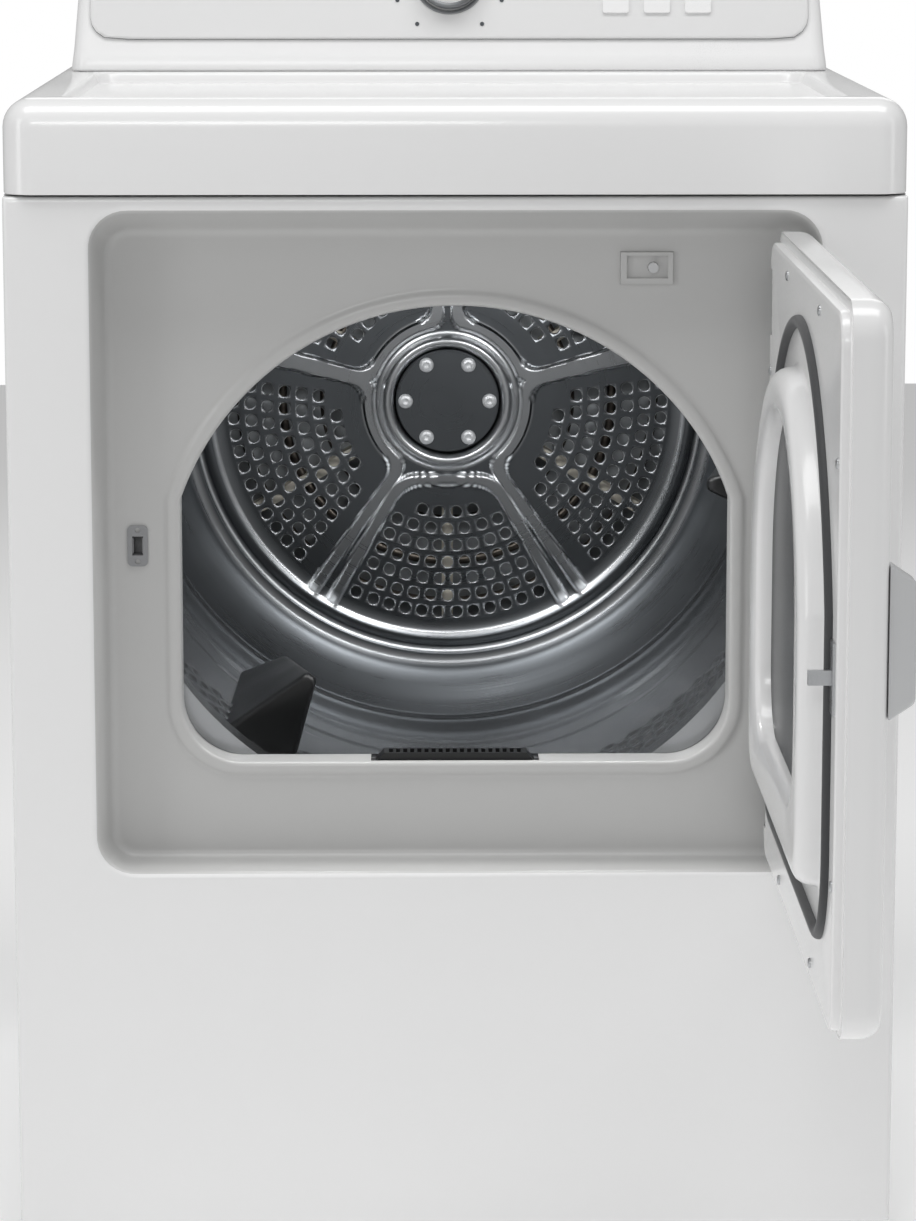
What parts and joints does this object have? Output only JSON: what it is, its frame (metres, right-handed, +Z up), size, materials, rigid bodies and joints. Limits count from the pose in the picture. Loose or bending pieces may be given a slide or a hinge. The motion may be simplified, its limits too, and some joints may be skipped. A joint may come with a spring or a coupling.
{
  "type": "clothes dryer",
  "caption": "Front-loading clothes dryer with a side-hinged door in a D-shaped opening, a perforated-back steel drum, belt drive, blower, lint filter and a rear control console.",
  "frame": {"origin": "on the floor under the middle of the bounding box, with the door open a quarter turn", "axes": "+X to the user's right as they face the machine, +Y from the front to the back, +Z up"},
  "size_m": [0.686, 1.185, 1.075],
  "materials": {
    "white_enamel": "gloss",
    "white_plastic": "gloss",
    "drum_steel": "satin",
    "galvanised": "matte",
    "dark_plastic": "matte",
    "grey_plastic": "satin",
    "rubber": "matte",
    "felt": "matte",
    "steel": "satin",
    "motor_body": "satin",
    "heater_alloy": "satin",
    "ceramic_white": "matte",
    "board": "satin",
    "bronze": "satin",
    "lens": "gloss"
  },
  "bodies": {
    "cabinet": {"left_side": "white_enamel", "right_side": "white_enamel", "front_panel": "white_enamel", "rear_panel": "galvanised", "front_bulkhead": "galvanised", "base_pan": "galvanised", "leveling_feet": "dark_plastic", "top_lid": "white_enamel", "console_shell": "white_plastic", "console_fascia": "white_plastic", "console_rear_cover": "galvanised", "dial_bezel": "grey_plastic", "console_switches": "dark_plastic", "control_boards": "board", "indicator_lenses": "lens", "drum_bearing": "bronze", "heater_housing": "galvanised", "heater_coils": "heater_alloy", "coil_insulators": "ceramic_white", "thermostats": "dark_plastic", "felt_seals": "felt", "drum_glides": "white_plastic", "drive_motor": "motor_body", "motor_mount": "galvanised", "blower_housing": "grey_plastic", "exhaust_pipe": "galvanised", "lint_duct": "grey_plastic", "drive_belt": "rubber", "idler_post": "galvanised", "door_switch": "white_plastic", "door_catch": "grey_plastic", "hinge_brackets": "steel", "hinge_pins": "steel", "terminal_block": "dark_plastic", "terminal_cover": "galvanised", "rear_screws": "steel"},
    "door": {"door_outer_shell": "white_enamel", "door_inner_panel": "white_enamel", "door_dish": "grey_plastic", "door_gasket": "rubber", "door_handle": "white_plastic", "door_strike": "steel", "door_screws": "steel", "door_hinge_leaves": "steel"},
    "drum": {"drum_shell": "drum_steel", "drum_back": "drum_steel", "drum_vanes": "dark_plastic", "drum_hub": "steel", "hub_bolts": "steel"},
    "motor_rotor": {"motor_shaft": "steel", "blower_wheel": "dark_plastic"},
    "idler_arm": {"idler_arm": "galvanised"},
    "idler_pulley": {"idler_pulley": "dark_plastic"},
    "dial": {"dial_knob": "white_plastic"},
    "temperature_button": {"temperature_button": "white_plastic"},
    "dryness_button": {"dryness_button": "white_plastic"},
    "time_button": {"time_button": "white_plastic"},
    "start_button": {"start_button": "white_plastic"},
    "switch_plunger": {"door_switch_plunger": "white_plastic"},
    "lint_filter": {"lint_filter": "dark_plastic"}
  },
  "joints": [
    {"name": "door_hinge", "type": "hinge", "parent": "cabinet", "child": "door", "pos_m": [0.264, -0.0585, 0.56], "axis": [0, 0, 1], "range_deg": [-90, 0]},
    {"name": "drum_spin", "type": "hinge", "parent": "cabinet", "child": "drum", "pos_m": [0, 0.2685, 0.6], "axis": [0, 1, 0], "continuous": true},
    {"name": "motor_spin", "type": "hinge", "parent": "cabinet", "child": "motor_rotor", "pos_m": [0.13, 0.2285, 0.142], "axis": [0, 1, 0], "continuous": true},
    {"name": "idler_arm_pivot", "type": "hinge", "parent": "cabinet", "child": "idler_arm", "pos_m": [-0.02, 0.3065, 0.172], "axis": [0, -1, 0], "range_deg": [0, 12], "stiffness_Nm_per_rad": 3},
    {"name": "idler_pulley_spin", "type": "hinge", "parent": "idler_arm", "child": "idler_pulley", "pos_m": [-0.00889, 0.3205, 0.20502], "axis": [0, 1, 0], "continuous": true},
    {"name": "dial_turn", "type": "hinge", "parent": "cabinet", "child": "dial", "pos_m": [0, 0.35429, 0.98353], "axis": [0, -0.9559, 0.2936], "continuous": true},
    {"name": "temperature_press", "type": "slide", "parent": "cabinet", "child": "temperature_button", "axis": [0, 0.9559, -0.2936], "range_m": [0, 0.0012], "stiffness_N_per_m": 400},
    {"name": "dryness_press", "type": "slide", "parent": "cabinet", "child": "dryness_button", "axis": [0, 0.9559, -0.2936], "range_m": [0, 0.0012], "stiffness_N_per_m": 400},
    {"name": "time_press", "type": "slide", "parent": "cabinet", "child": "time_button", "axis": [0, 0.9559, -0.2936], "range_m": [0, 0.0012], "stiffness_N_per_m": 400},
    {"name": "start_press", "type": "slide", "parent": "cabinet", "child": "start_button", "axis": [0, 0.9559, -0.2936], "range_m": [0, 0.0025], "stiffness_N_per_m": 400},
    {"name": "door_switch_press", "type": "slide", "parent": "cabinet", "child": "switch_plunger", "axis": [0, 1, 0], "range_m": [0, 0.003], "stiffness_N_per_m": 200},
    {"name": "lint_filter_slide", "type": "slide", "parent": "cabinet", "child": "lint_filter", "axis": [0, 0, 1], "range_m": [0, 0.19]}
  ],
  "couplings": [
    {"joint": "motor_spin", "follows": "drum_spin", "ratio": 25.229},
    {"joint": "idler_pulley_spin", "follows": "drum_spin", "ratio": -11.931}
  ]
}
